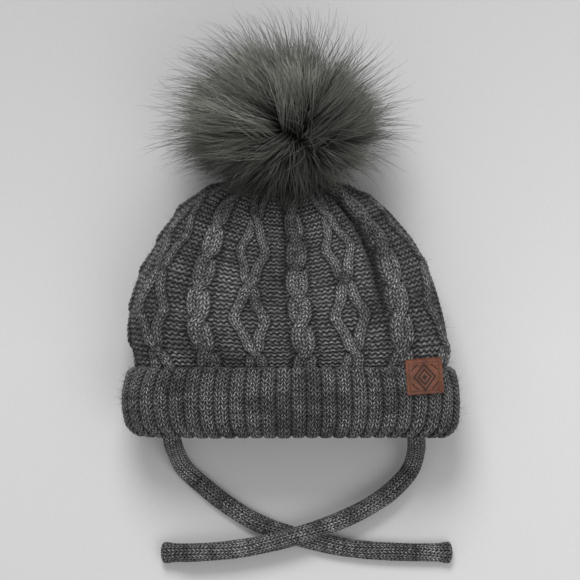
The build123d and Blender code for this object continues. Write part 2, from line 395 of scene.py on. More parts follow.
def grow_fuzz(name, points, normal, count, node, slot):
    """Short curled fibres scattered over a knitted sheet."""
    rows, cols = points.shape[:2]
    steps = FIBRE_TAPER.size
    i = rng.integers(0, rows, count)
    j = rng.integers(0, cols, count)
    way = unit(0.75 * normal[i, j] + rng.normal(0, 0.55, (count, 3)))
    length = rng.gamma(3.0, 0.75, count)[:, None, None]
    t = np.linspace(0, 1, steps)[None, :, None]
    bend = rng.normal(0, 0.45, (count, 1, 3))
    lines = points[i, j][:, None] + way[:, None] * t * length + bend * length * t ** 2
    lines[..., 2] = np.maximum(lines[..., 2], 0.15)
    width = FIBRE_WIDTH * np.ones((count, 1)) * FIBRE_TAPER
    tone = np.repeat(rng.uniform(0, 1, count)[:, None], steps, axis=1)
    dress(strand_mesh(name, lines, width, {"fibre": tone}), FIBRE, slot, "hat", node)


# ------------------------------------------------------------------ crown

# height above the mouth, middle x, half width, middle z, half depth of the crown's rings
CROWN = [
    (36.0, 0.0, 89.5, 31.0, 20.0), (43.0, 0.2, 91.0, 31.0, 21.4), (48.0, 0.6, 92.4, 31.0, 23.4),
    (54.0, -0.3, 93.4, 31.0, 26.0), (67.0, -2.4, 93.0, 31.0, 29.6), (82.0, -3.5, 90.5, 30.6, 29.8),
    (97.0, -4.0, 86.0, 29.8, 28.4), (112.0, -3.7, 78.5, 29.2, 26.2),
    (127.0, -4.7, 68.2, 29.8, 22.8), (138.0, -5.7, 58.0, 32.0, 19.4),
    (146.0, -6.0, 46.0, 34.0, 16.2), (151.0, -5.5, 32.0, 35.4, 13.0),
    (153.8, -5.0, 12.0, 36.0, 6.0),
]
REPEATS = 7  # each repeat of the pattern is one rope and one column of diamonds
WALES_PER_REPEAT = 16
CROWN_WALES = REPEATS * WALES_PER_REPEAT
CROWN_ROWS = 52
CROWN_SHIFT = 8.4 / 3.9  # wales from the top middle to the nearest rope
SAMPLES_PER_WALE = 12
SAMPLES_PER_ROW = 8

ROPE_ROWS = 14.0  # rows in one full turn of a rope
ROPE_PHASE = 0.27
ROPE_SWING = 0.84
ROPE_HALF = 1.12
ROPE_LIFT, ROPE_OVER, ROPE_UNDER = 2.2, 1.1, 1.0
CHANNEL_AT = 2.35  # shadowed channel either side of a rope
DIAMOND_ROWS = 32.8  # rows in two diamonds, the second with its strands swapped
DIAMOND_PHASE = 0.20
DIAMOND_WAIST, DIAMOND_SWELL = 0.85, 1.5  # strand's way out just past a crossing, and more at the corner
DIAMOND_POINT = 2.5  # power that brings the strands together sooner
DIAMOND_HALF = 0.96
DIAMOND_LIFT, DIAMOND_OVER, DIAMOND_UNDER = 2.0, 0.8, 0.7
FOLD_GAP = 2.4
# folds of the cloth: wale of the rope, side of it, depth, where up the crown the fold begins
FOLDS = [(16, -1, 5.6, 0.10), (-16, 1, 1.5, 0.3), (0, -1, 1.2, 0.1)]


def crown_surface(shares, levels):
    """Points of the smooth crown; level 0 is the lower edge and 1 the gathered top."""
    y = np.linspace(CROWN[0][0], CROWN[-1][0], 170)
    xs = np.empty((len(y), len(shares)))
    zs = np.empty_like(xs)
    for k, (cx, w, cz, d) in enumerate(hermite(CROWN, y)):
        xs[k], zs[k] = ring(cx, w, cz, d, shares)
    step = np.sqrt(np.diff(xs, axis=0) ** 2 + np.diff(zs, axis=0) ** 2 + np.diff(y)[:, None] ** 2)
    run = np.vstack([np.zeros(len(shares)), np.cumsum(step, axis=0)])
    run /= run[-1]
    out = np.empty((len(levels), len(shares), 3))
    for k in range(len(shares)):
        yk = np.interp(levels, run[:, k], y)
        out[:, k, 0] = np.interp(yk, y, xs[:, k])
        out[:, k, 1] = yk
        out[:, k, 2] = np.interp(yk, y, zs[:, k])
    return out


def purl(p, q):
    """Height of the wavy purl ground, 0 to 1, at wale p and row q."""
    row = bumps(q + 0.17 * np.cos(TAU * p) + 0.05 * np.cos(TAU * p * 0.5 + 2.1))
    bead = 0.80 + 0.20 * np.cos(TAU * p + math.pi * np.floor(q + 0.5))
    return row ** 0.8 * bead


def knit_v(wale, q):
    """Relief of a column of V stitches; wale counts columns and q rows."""
    leg = np.abs(2 * (wale - np.floor(wale)) - 1)
    slant = bumps(q - 0.55 * leg)
    tube = np.clip(1 - (np.abs(leg - 0.5) / 0.62) ** 2, 0, 1) ** 0.5
    return tube * (0.6 + 0.4 * slant)


def zigzag(t):
    """Smooth triangle wave with period 1, zero and rising at 0."""
    return np.arcsin(0.9 * np.sin(TAU * t)) / math.asin(0.9)


def lay_strand(knit, p, q, centre, half, lift):
    """Lays one two-wale strand over what is there, where it stands higher."""
    u = (p - centre) / half
    dome = np.sqrt(np.clip(1 - u * u, 0, 1))
    mine = lift * (0.30 + 0.55 * dome + 0.40 * knit_v(u + 1, q) * dome ** 0.5)
    # painted shade on the ground just beside the strand
    near = bell(np.clip(np.abs(u) - 1, 0, None) * half, 0.34) * (np.abs(u) >= 1)
    knit["gap"] = knit["gap"] * (1 - 0.62 * near)
    over = (np.abs(u) < 1) & (mine > knit["height"])
    # the strand's gap value paints shade towards its sides
    for key, value in (("height", mine), ("gap", 0.22 + 0.88 * dome ** 0.9), ("column", u + 1),
                       ("kind", 1.0)):
        knit[key] = np.where(over, value, knit[key])


def crown_relief(p, q):
    """Height, painted gap shade, column and stitch kind of the cable pattern at wale p and row q."""
    ground = purl(p, q)
    # gap is painted shade: darkest in the purl troughs and, below, in the channels beside each rope
    knit = {"height": 0.95 * ground, "gap": 0.06 + 1.00 * ground ** 1.6,
            "column": p + 0.0, "kind": np.zeros_like(p)}
    half_repeat = WALES_PER_REPEAT / 2
    from_rope = (p + half_repeat) % WALES_PER_REPEAT - half_repeat
    from_diamond = (p % WALES_PER_REPEAT) - half_repeat
    for edge in (-CHANNEL_AT, CHANNEL_AT):
        trench = bell(from_rope - edge, 0.42)
        knit["height"] -= 0.9 * trench
        knit["gap"] *= 1 - 0.35 * trench
    # rope: two strands that change places twice in every turn
    turn = q / ROPE_ROWS + ROPE_PHASE
    swing = np.cos(TAU * turn)
    place = ROPE_SWING * np.tanh(1.3 * swing) / math.tanh(1.3)
    crossing = bell(swing, 0.75)
    rising = np.sin(TAU * turn) < 0
    for side, on_top in ((1, rising), (-1, ~rising)):
        lift = ROPE_LIFT + np.where(on_top, ROPE_OVER, -ROPE_UNDER) * crossing
        lay_strand(knit, from_rope, q, side * place, ROPE_HALF, lift)
    # diamond: two strands that part and meet
    path = q / DIAMOND_ROWS - DIAMOND_PHASE
    part = zigzag(path)
    spread = DIAMOND_WAIST * np.tanh(6 * part) + DIAMOND_SWELL * part * np.abs(part) ** DIAMOND_POINT
    meet = bell(part, 0.28)
    even = np.cos(TAU * path) < 0
    for side, on_top in ((1, even), (-1, ~even)):
        lift = DIAMOND_LIFT + np.where(on_top, DIAMOND_OVER, -DIAMOND_UNDER) * meet
        lay_strand(knit, from_diamond, q, side * spread, DIAMOND_HALF, lift)
    return knit


def dye_tone(p, q, seed):
    """Space-dyed yarn: every stitch is light or dark, in runs along the row and in patches."""
    line = np.floor(q)
    cell = np.floor(p)
    runs = value_noise(cell / 4.5 + line * 3.77, line, seed)
    patch = value_noise(cell / 4.2 + 0.4, line / 4.6, seed + 5)
    wide = sway(p / 11.0, q / 12.0, seed + 8)
    single = value_noise(cell, line, seed + 11)
    return (0.44 + 0.36 * smoothstep(0.3, 0.7, runs) + 0.52 * smoothstep(0.32, 0.68, patch)
            + 0.36 * wide + 0.20 * single)


def build_crown():
    cols = CROWN_WALES * SAMPLES_PER_WALE
    rows = CROWN_ROWS * SAMPLES_PER_ROW
    shares = np.arange(cols) / cols
    levels = np.linspace(0, 1, rows + 1)
    base = crown_surface(shares, levels)
    normal = grid_normals(base, True)
    if normal[rows // 3, 0, 2] < 0:
        normal = -normal
    level = levels[:, None]
    p = (shares * CROWN_WALES - CROWN_SHIFT)[None, :] + 0 * level
    q = level * CROWN_ROWS + 0 * shares[None, :]
    wander = 0.35 * sway(p / 5, q / 6, 3)
    q = q + 0.5 * sway(p / 8, q / 5, 9)
    knit = crown_relief(p + wander, q)
    fade = 1 - 0.75 * smoothstep(0.86, 1.0, level)
    height, gap = knit["height"] * fade, knit["gap"]
    for rope, side, deep, start in FOLDS:
        beside = p - (rope + side * FOLD_GAP)
        reach = smoothstep(start, start + 0.3, level)
        fold = bell(beside, 1.15) * reach
        swell = bell(beside + side * 3.2, 2.4) * reach
        height = height - deep * fold + 0.35 * deep * swell
        # painted shade in the crease of the fold
        gap = gap * (1 - 0.74 * fold * min(1.0, deep / 3))
    # painted shadow of the pom over the top of the crown
    gap = gap * (1 - 0.40 * smoothstep(0.72, 0.97, level))
    unrest = 1.6 * sway(p / 7, q / 9, 21)
    points = base + normal * (height + unrest * fade)[..., None]
    points[..., 2] = np.maximum(points[..., 2], 0.15 + 0.25 * (1 - np.clip(height, 0, 1)))
    data = {"stitch": np.stack([knit["column"], q, knit["kind"]], -1), "depth": gap,
            "yarn": np.stack([p, q, knit["kind"] * 9], -1), "tone": dye_tone(p, q, 2)}
    for obj in panels("crown_knit_panel", points, data, REPEATS):
        dress(obj, KNIT, "knit_yarn", "hat", "crown_knit")
    grow_fuzz("crown_fuzz", points, normal, 7000, "crown_knit", "knit_yarn")


# ------------------------------------------------------------------ cuff

CUFF_HEIGHT = 42.6
CUFF_RIBS = 49
CUFF_HALF_WIDTH = 100.4
CUFF_HALF_DEPTH = 30.2
CUFF_MID_Z = 31.0
CUFF_ROW = 2.62
CUFF_STEPS_PER_ROW = 7
CUFF_STEPS_PER_RIB = 18
CUFF_WALL = 12.2  # from the outer face to the inner leaf's far face
FREE_EDGE_RUN = 16.9  # length of path from the band's free edge to its hidden end
WALES_PER_RIB = 2.4  # two knit columns and a narrow purl gutter


def cuff_profile():
    """Path of the band's skin: inward distance and height, from the hidden inner leaf's top,
    down round the bottom fold, up the outer leaf and over its free edge."""
    path = [(CUFF_WALL, y) for y in np.linspace(37.0, 7.4, 12)]
    for a in np.linspace(0, math.pi, 17)[1:-1]:
        path.append((6.4 + 5.8 * math.cos(a), 7.0 - 5.4 * math.sin(a)))
    path += [(0.0, y) for y in np.linspace(7.4, 38.4, 26)]
    for a in np.linspace(0, math.pi, 9)[1:-1]:
        path.append((2.0 - 2.0 * math.cos(a), 38.6 + 2.4 * math.sin(a)))
    path += [(4.0, y) for y in np.linspace(38.4, 26.0, 6)]
    return np.array(path)


def cuff_bulge(y):
    """How far the band's face falls back towards its two edges."""
    half = CUFF_HEIGHT / 2
    return 4.5 * ((np.clip(y, 0, CUFF_HEIGHT) - half) / half) ** 2


def build_cuff():
    path = cuff_profile()
    run = path_lengths(path)
    at = np.linspace(0, run[-1], int(run[-1] / CUFF_ROW * CUFF_STEPS_PER_ROW) + 1)
    inward = np.interp(at, run, path[:, 0])
    height_y = np.interp(at, run, path[:, 1])
    cols = CUFF_RIBS * CUFF_STEPS_PER_RIB
    shares = np.arange(cols) / cols
    base = np.empty((len(at), cols, 3))
    outer = smoothstep(1.0, 9.0, np.abs(inward - CUFF_WALL))
    for k in range(len(at)):
        inset = inward[k] + cuff_bulge(height_y[k]) * outer[k]
        x, z = ring(0.0, CUFF_HALF_WIDTH - inset, CUFF_MID_Z, CUFF_HALF_DEPTH - inset, shares)
        base[k] = np.stack([x, np.full(cols, height_y[k]), z], -1)
    normal = grid_normals(base, True)
    mid = int(np.argmin(np.abs(height_y - 20) + 100 * (inward > 1)))
    if normal[mid, 0, 2] < 0:
        normal = -normal
    r = (shares * CUFF_RIBS)[None, :] + 0 * at[:, None]
    q = (at / CUFF_ROW)[:, None] + 0 * shares[None, :]
    r = r + 0.10 * sway(r / 2.5, q / 5, 31)
    u = r - np.floor(r) - 0.5
    turned = q + 0.5 * sway(np.floor(r) * 3.1, q / 3, 8)
    half = 0.432 + 0.030 * np.cos(TAU * turned) + 0.05 * sway(r * 1.7, q / 1.8, 17)
    inside = np.abs(u) < half
    wale = np.clip((u + half) / half, 0, 1.999)
    dome = np.sqrt(np.clip(1 - (u / half) ** 4, 0, 1))
    ridge = 0.9 * dome + 0.9 * knit_v(wale, turned) * dome
    gutter = 0.25 * bumps(q)
    height = np.where(inside, ridge, gutter)
    # painted shade, darkest in the purl gutters and at the rib edges
    gap = np.where(inside, 0.30 + 0.72 * dome, 0.07 + 0.5 * gutter)
    height = height * (1 - 0.35 * bell(at - run[-1] + FREE_EDGE_RUN, 2.2)[:, None])
    unrest = 1.5 * sway(r / 3.3, q / 8, 41)
    points = base + normal * (height + unrest)[..., None]
    points[..., 2] = np.maximum(points[..., 2], 0.05 * value_noise(r, q, 3))
    column = r * WALES_PER_RIB
    data = {"stitch": np.stack([wale, turned, inside * 1.0], -1), "depth": gap,
            "yarn": np.stack([column, q, inside * 9.0], -1), "tone": dye_tone(column, q, 12)}
    for obj in panels("cuff_rib_panel", points, data, 7):
        dress(obj, RIB, "rib_yarn", "hat", "turn_up_cuff")
    seen = inward < 1.0
    grow_fuzz("cuff_fuzz", points[seen], normal[seen], 4500, "turn_up_cuff", "rib_yarn")


build_crown()
build_cuff()


# ------------------------------------------------------------------ tie cords

TIE_WALES = 10
TIE_ROW = 2.45
TIE_STEP = TIE_ROW / 8
TIE_STEPS_PER_WALE = 16
TIE_HALF_WIDTH = 4.75
TIE_HALF_THICK = 2.2
DROOP = 5.2  # how far the upper cord's end sinks past the crossing
DROOP_LENGTH = 21.0
# root: points inside the mouth; path: the lying part at height z; pivots: its three joints
TIES = {
    "left": {
        "z": 3.2, "droop": 0.0, "seed": 51,
        "root": [(-71.0, 20.0, 29.0), (-72.0, 8.0, 28.5), (-71.5, -2.0, 24.0),
                 (-69.0, -11.0, 12.0)],
        "path": [(-65.0, -19.5), (-52.2, -31.5), (-37.8, -42.6), (-21.6, -52.2), (-3.0, -59.4),
                 (17.4, -65.0), (38.0, -68.6), (64.2, -70.6), (98.0, -71.0)],
        "pivots": [(-65.0, -19.5), (-23.01, -51.503), (34.5, -68.131)],
    },
    "right": {
        "z": 9.7, "droop": DROOP, "seed": 67,
        "root": [(72.5, 20.0, 29.0), (74.0, 8.0, 28.5), (75.5, -2.0, 25.0), (75.2, -11.0, 15.5)],
        "path": [(72.5, -20.0), (61.2, -33.0), (45.6, -43.6), (24.0, -53.6), (3.6, -60.6),
                 (-16.2, -65.6), (-36.6, -69.0), (-56.4, -70.6), (-79.0, -71.0)],
        "pivots": [(72.5, -20.0), (33.64, -49.561), (-19.829, -66.337)],
    },
}


def smooth_line(points, step):
    """Evenly spaced points along a smooth line through the given ones, and their distances."""
    points = np.asarray(points, float)
    chord = path_lengths(points)
    fine = hermite(np.column_stack([chord, points]), np.linspace(0, chord[-1], 900))
    run = path_lengths(fine)
    at = np.linspace(0, run[-1], int(run[-1] / step) + 1)
    return np.stack([np.interp(at, run, fine[:, k]) for k in range(3)], -1), at


def oval(wave):
    """Cosine or sine pushed out a little, for the cord's flattened section."""
    return np.sign(wave) * np.abs(wave) ** 0.9


def build_tie(side, spec):
    seed = spec["seed"]
    line, at = smooth_line(spec["root"] + [(x, y, spec["z"]) for x, y in spec["path"]], TIE_STEP)
    tangent = unit(np.gradient(line, axis=0))
    across = unit(np.cross([0.0, 0.0, 1.0], tangent))
    upward = np.cross(tangent, across)
    cols = TIE_WALES * TIE_STEPS_PER_WALE
    shares = np.arange(cols) / cols
    angle = TAU * shares
    row = at / TIE_ROW
    p = (shares * TIE_WALES)[None, :] + 0 * row[:, None]
    q = row[:, None] + 0 * shares[None, :]
    q = q + 0.35 * sway(np.floor(p) * 2.3, q / 3, seed)
    column = p + 0.25 * np.sin(row / 4.1 + seed)[:, None]
    groove = np.sqrt(np.clip(1 - np.abs(2 * (column - np.floor(column)) - 1) ** 3, 0, 1))
    height = 0.50 * groove + 0.40 * knit_v(column, q)
    # the end is a little wider, then rounds off and closes
    to_end = at[-1] - at
    close = rounded(to_end / 2.4)
    flare = 1 + 0.20 * bell(to_end - 3.4, 3.6)
    line[:, 2] -= spec["droop"] * smoothstep(0, 1, 1 - to_end / DROOP_LENGTH)
    lump = 1 + 0.05 * sway(row / 3.0, row * 0, seed)
    half_w = TIE_HALF_WIDTH * close * flare * lump
    half_t = TIE_HALF_THICK * np.maximum(close, 0.02)
    close = close[:, None]
    offset_x = half_w[:, None] * oval(np.cos(angle)) + height * np.cos(angle) * close
    offset_z = half_t[:, None] * oval(np.sin(angle)) + height * np.sin(angle) * close
    points = (line[:, None, :] + across[:, None, :] * offset_x[..., None]
              + upward[:, None, :] * offset_z[..., None])
    points[..., 2] = np.maximum(points[..., 2], 0.03 + 0.1 * (1 - close))
    band = value_noise(q / 3.2, q * 0, seed + 9)
    # depth is painted shade in the grooves between the cord's columns
    data = {"stitch": np.stack([column, q, 1.0 + 0 * q], -1), "depth": 0.30 + 0.70 * groove,
            "yarn": np.stack([p, q, 0 * q], -1),
            "tone": dye_tone(p * 0.8, q * 0.9, seed + 3) * (0.70 + 0.62 * band)}
    # cut half way between the pivots, into four pieces
    marks = [int(np.argmin(np.hypot(line[:, 0] - x, line[:, 1] - y))) for x, y in spec["pivots"]]
    last = len(at) - 1
    cuts = [0] + [(a + b) // 2 for a, b in zip(marks, marks[1:] + [last])] + [last]
    bodies = ["hat"] + [f"{side}_tie_{k}" for k in (1, 2, 3)]
    nodes = [["root", "upper"], ["middle"], ["lower"], ["end_seam"]]
    for k in range(4):
        rows = slice(cuts[k], cuts[k + 1] + 1)
        count = cuts[k + 1] - cuts[k] + 1
        obj = make_mesh(f"{side}_tie_knit_{k + 1}", points[rows], grid_quads(count, cols, True),
                        {key: value[rows] for key, value in data.items()},
                        sheet_uv(count, cols, 0.97))
        rides = bodies[3] if k == 3 else None
        dress(obj, CORD, "tie_yarn", rides, *[f"{side}_tie_{name}" for name in nodes[k]])
        if k < 3:
            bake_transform(obj)


for side, spec in TIES.items():
    build_tie(side, spec)


# ------------------------------------------------------------------ leather label

LABEL_WIDTH = 22.0
LABEL_BOTTOM = 26.0
LABEL_THICK = 1.2
LABEL_TILT = math.radians(4.0)
LABEL_MID = (79.5, 36.0)
LABEL_FOLD_Y = 43.6  # where the leather starts to turn over the band's free edge
LABEL_MARK_MID = 10.2  # from the lower edge to the middle of the pressed pattern
LABEL_UNDER = 0.35  # gap kept for the stitches between the leather and the knit
FACE_HALF_WIDTH, FACE_HALF_DEPTH = 102.0, 31.6  # band's outer face, over the ribs


def cuff_face_z(x, y):
    """Height of the band's upper face at (x, y)."""
    inset = cuff_bulge(y)
    half_w, half_d = FACE_HALF_WIDTH - inset, FACE_HALF_DEPTH - inset
    return CUFF_MID_Z + half_d * (1 - np.abs(x / half_w) ** ROUNDNESS) ** (1 / ROUNDNESS)


def pressed_mark(x, y):
    """Pressed lines of the label: a border, nested diamonds and corner strokes, from its centre."""
    diamond = np.abs(x) / 5.6 + np.abs(y + 0.2) / 6.6
    lines = bell(diamond - 1.12, 0.13) + bell(diamond - 0.66, 0.14)
    lines += bell(np.clip(diamond - 0.20, 0, None), 0.10)
    corner = np.abs(x) + np.abs(y) - 11.6
    lines += bell(corner, 0.5) * (np.abs(x) < 7.9) * (np.abs(y) < 7.4)
    border = bell(np.abs(x) - 8.9, 0.22) * (np.abs(y) < 8.4)
    border += bell(np.abs(y) - 8.3, 0.22) * (np.abs(x) < 9.0)
    return np.clip(lines, 0, 1), np.clip(border, 0, 1)


def build_label():
    """One strip of leather: up the front of the band, over its free edge and down behind."""
    # path over the top: (distance up the band, inward)
    path = [(y, 0.0) for y in np.linspace(LABEL_BOTTOM, LABEL_FOLD_Y, 120)]
    for a in np.linspace(0, math.pi, 26)[1:]:
        path.append((LABEL_FOLD_Y + 2.7 * math.sin(a), 3.1 - 3.1 * math.cos(a)))
    path += [(y, 6.2) for y in np.linspace(43.0, 40.4, 8)]
    path = np.array(path)
    run = path_lengths(path)
    across = np.linspace(-LABEL_WIDTH / 2, LABEL_WIDTH / 2, 150)
    rows, cols = len(path), len(across)
    grid = np.empty((rows, cols, 3))
    for k, (y, inward) in enumerate(path):
        up = y - LABEL_MID[1]
        x = LABEL_MID[0] + across * math.cos(LABEL_TILT) - up * math.sin(LABEL_TILT)
        y = LABEL_MID[1] + across * math.sin(LABEL_TILT) + up * math.cos(LABEL_TILT)
        z = cuff_face_z(x, np.minimum(y, 44.0)) + LABEL_UNDER - inward
        grid[k] = np.stack([x, y, z], -1)
    normal = grid_normals(grid, False)
    if normal[10, 10, 2] < 0:
        normal = -normal
    x_flat, y_flat = np.meshgrid(across, run - LABEL_MARK_MID)
    mark, border = pressed_mark(x_flat, y_flat)
    grain = sway(x_flat * 2.2, y_flat * 2.2, 5) + 0.6 * sway(x_flat * 5.5, y_flat * 5.5, 6)
    edge = np.minimum(LABEL_WIDTH / 2 - np.abs(x_flat), run[:, None] + 0 * x_flat)
    lift = (LABEL_UNDER + (LABEL_THICK - LABEL_UNDER) * rounded(edge / 0.5) + 0.10 * grain
            - 0.34 * mark - 0.22 * border)
    # closed sheet: the top face, then the underside in reverse order, then the two ends
    top, under = grid + normal * lift[..., None], grid + normal * 0.02
    sheet = np.concatenate([top, under[:, ::-1]], axis=1)
    n = sheet.shape[1]
    ends = [(row * n + j, row * n + j + 1, row * n + n - 2 - j, row * n + n - 1 - j)
            for row in (0, rows - 1) for j in range(cols - 1)]
    quads = np.concatenate([grid_quads(rows, n, True), np.array(ends)])
    data = {"edge": np.concatenate([edge, 0 * edge], axis=1),
            "pressed": np.concatenate([mark + 0.6 * border, 0 * mark], axis=1)}
    obj = make_mesh("leather_label_sheet", sheet, quads, data, sheet_uv(rows, n))
    dress(obj, leather_material(), "label_leather", "hat", "leather_label")


def leather_material():
    s = Surface("tan_leather")
    place = s.place()
    cloud = s.noise(place, 130, 3.0)
    pores = s.noise(place, 2600, 2.0)
    colour = s.mix(s.ramp(cloud, 0.3, 0.7), (0.088, 0.031, 0.018), (0.166, 0.060, 0.034))
    pressed = s.span(s.attribute("pressed"), 0.1, 0.7, 0.0, 0.93)
    colour = s.mix(pressed, colour, (0.016, 0.007, 0.005))
    edge = s.span(s.attribute("edge"), 0.0, 0.5, 0.7, 0.0)
    colour = s.mix(edge, colour, (0.10, 0.032, 0.014))
    colour = s.mix(s.span(pores, 0.2, 0.45, 0.55, 0.0), colour, (0.14, 0.045, 0.02))
    s.relief(pores, 0.2, 0.5)
    return s.finish(colour, 0.58, 0.3)


build_label()


# ------------------------------------------------------------------ fur pom

POM_CENTRE = np.array([-5.0, 184.5, 49.0])
POM_SHAPE = np.array([60.5, 50.5, 51.0])
STUFFING_CENTRE = np.array([-2.0, 187.0, 49.0])
# the fur falls away from a parting that runs over the ball from this direction along this line
PARTING = np.array([0.36, -0.09, 0.93])
PARTING_LINE = np.array([-0.33, -0.40, 0.0])
UNDERFUR_RADIUS = 27.9
ROOT_RADIUS = 25.0
FUR_STRANDS = 36000
FUR_PIECES = 5
FUR_LOCKS = 900
FUR_TAPER = np.array([[1.0, 1.0, 0.85, 0.5, 0.10]])
GUARD_HAIRS = 3600
GUARD_WIDTH = 0.11
GUARD_TAPER = np.array([[1.2, 1.2, 1.1, 1.0, 0.8, 0.55, 0.2]])


def even_directions(count):
    """Directions spread evenly over a sphere."""
    k = np.arange(count) + 0.5
    z = 1 - 2 * k / count
    turn = math.pi * (1 + 5 ** 0.5) * k
    r = np.sqrt(1 - z * z)
    return np.stack([r * np.cos(turn), r * np.sin(turn), z], -1)


def combed(n, slide, swirl, pole):
    """Direction n moved over the ball away from the parting, with a turn to one side."""
    away = unit(n * np.sum(n * pole, axis=-1, keepdims=True) - pole)
    way = away * np.cos(swirl)[:, None] + np.cross(n, away) * np.sin(swirl)[:, None]
    return unit(n + way * slide[:, None])


def clear_of_hat(points, gap):
    """Lifts strand points off the resting surface and out of the crown."""
    cx, w, cz, d = np.moveaxis(hermite(CROWN, points[..., 1]), -1, 0)
    u = np.clip(np.abs((points[..., 0] - cx) / np.maximum(w, 1)), 0, 1)
    arch = (1 - u ** ROUNDNESS) ** (1 / ROUNDNESS)
    inside = (points[..., 1] < 154.5) & (u < 1)
    z = points[..., 2]
    raised = np.where(inside & (z >= cz), np.maximum(z, cz + (d + 3.4) * arch + gap), z)
    raised = np.where(inside & (z < cz), np.minimum(raised, cz - (d + 3.0) * arch - gap), raised)
    points[..., 2] = np.maximum(raised, 0.35 + gap)
    return points


def fur_material(name, tip_dark):
    """Dark roots, a paler middle and dark tips, scaled by the shade attribute, which holds a random tone
    and, on the fur and underfur, painted light and shade.
    """
    s = Surface(name)
    along = s.attribute("along")
    colour = s.mix(s.span(along, 0.12, 0.50), (0.012, 0.012, 0.011), (0.130, 0.132, 0.122))
    colour = s.mix(s.span(along, 0.55, 0.95), colour, (0.215, 0.220, 0.200))
    colour = s.mix(s.span(along, 0.86, 1.0, 0.0, tip_dark), colour, (0.035, 0.034, 0.033))
    tint = s.mix(s.attribute("warm"), (0.96, 1.0, 0.98), (1.04, 1.0, 0.93))
    colour = s.mix(1.0, colour, tint, "MULTIPLY")
    return s.finish(s.shaded(colour, s.attribute("shade")), 0.6, 0.2)


FUR = fur_material("grey_fur", 0.25)
GUARD = fur_material("guard_hair", 0.85)


def grow(n, seeds, reach, slide, swirl, pole, steps):
    """Strand lines from the ball's middle out to its combed surface."""
    t = np.linspace(0, 1, steps)[None, :, None]
    start = POM_CENTRE + n * ROOT_RADIUS
    # strands near the parting rise first and then fall over, so that no hollow shows there
    near = np.clip(np.sum(n * pole, axis=-1), 0, 1) ** 6
    middle = combed(n, (0.45 - 0.35 * near) * slide, swirl, pole)
    end = combed(n, slide, swirl, pole)
    bulge = 0.86 + 0.40 * near
    p1 = POM_CENTRE + middle * POM_SHAPE * (bulge * reach)[:, None]
    p2 = POM_CENTRE + end * POM_SHAPE * reach[:, None]
    lines = (1 - t) ** 2 * start[:, None] + 2 * t * (1 - t) * p1[:, None] + t * t * p2[:, None]
    # fur hangs a little towards the resting surface and curls
    sag = np.clip(reach - 0.8, 0, None)[:, None, None] * 7.0 * t ** 2
    curl = seeds[:, None, :] * (0.9 * np.sin(t * 3.0 + 9 * seeds[:, None, :1]) * t)
    return lines - sag * np.array([0.0, 0.25, 1.0]) + curl


def fur_shades(lines, strand_shade):
    """Painted light along each strand: the rim is painted lighter, and painted shade darkens the parting
    and the lower side.
    """
    u = (lines - POM_CENTRE) / POM_SHAPE
    from_parting = np.hypot(u[..., 0] - PARTING[0], u[..., 1] - PARTING[1])
    lift = 0.42 + 1.50 * smoothstep(0.15, 0.95, from_parting)
    lift = lift * (1 - 0.86 * smoothstep(0.05, 0.80, -u[..., 1] - 0.25 * u[..., 0]))
    return strand_shade[:, None] * lift


def build_fur():
    """Fur in locks: each lock has its own length, shade, turn and slide."""
    count, steps = FUR_STRANDS, FUR_TAPER.size
    locks = unit(rng.normal(size=(FUR_LOCKS, 3)))
    lock_len = rng.uniform(0.84, 1.07, FUR_LOCKS)
    lock_shade = rng.uniform(0.45, 1.40, FUR_LOCKS)
    lock_turn = rng.normal(0.0, 0.22, FUR_LOCKS)
    lock_slide = rng.uniform(0.70, 1.25, FUR_LOCKS)
    n = unit(even_directions(count) + 0.02 * rng.normal(size=(count, 3)))
    mine = np.argmax(n @ locks.T, axis=1)
    order = rng.permutation(count)
    n, mine = n[order], mine[order]
    pulled = unit(n + 0.75 * (locks[mine] - n))
    reach = lock_len[mine] * rng.uniform(0.78, 1.02, count)
    reach = reach * (1 + 0.25 * rng.beta(1.0, 3.0, count))
    slide = lock_slide[mine] + rng.normal(0, 0.10, count)
    from_pole = np.arccos(np.clip(n @ unit(PARTING), -1, 1))
    slide = slide + 0.15 * bell(from_pole, 0.65)
    reach = reach * (0.93 + 0.07 * smoothstep(0.1, 1.0, from_pole))
    reach = reach * (1 - 0.20 * smoothstep(0.2, 0.9, -n[:, 1]))
    swirl = 0.12 + lock_turn[mine] + rng.normal(0, 0.10, count)
    seeds = rng.normal(0, 0.5, (count, 3))
    pole = unit(PARTING) + rng.uniform(0, 1, (FUR_LOCKS, 1)) * PARTING_LINE
    pole = unit(pole + rng.normal(0, 0.06, (FUR_LOCKS, 3)))[mine]
    rooted = grow(n, seeds, reach, slide, swirl, pole, steps)
    tipped = grow(pulled, seeds, reach, slide, swirl, pole, steps)
    share = (np.linspace(0, 1, steps) ** 1.5)[None, :, None]
    lines = rooted * (1 - share) + tipped * share
    lines = clear_of_hat(lines, rng.uniform(0, 3.0, (count, 1)))
    width = rng.uniform(0.17, 0.28, (count, 1)) * FUR_TAPER
    along = np.linspace(0, 1, steps)[None, :] * (0.92 + 0.08 * rng.uniform(0, 1, (count, 1)))
    # each lock's random tone times the painted light and shade of fur_shades
    shade = fur_shades(lines, lock_shade[mine] * rng.uniform(0.7, 1.3, count))
    warm = np.repeat(rng.uniform(0, 1, count)[:, None], steps, axis=1)
    for k in range(FUR_PIECES):
        part = slice(k, None, FUR_PIECES)
        data = {"along": along[part], "shade": shade[part], "warm": warm[part]}
        dress(strand_mesh(f"pom_fur_{k + 1}", lines[part], width[part], data),
              FUR, "fur", "pom", "pom_pelt")


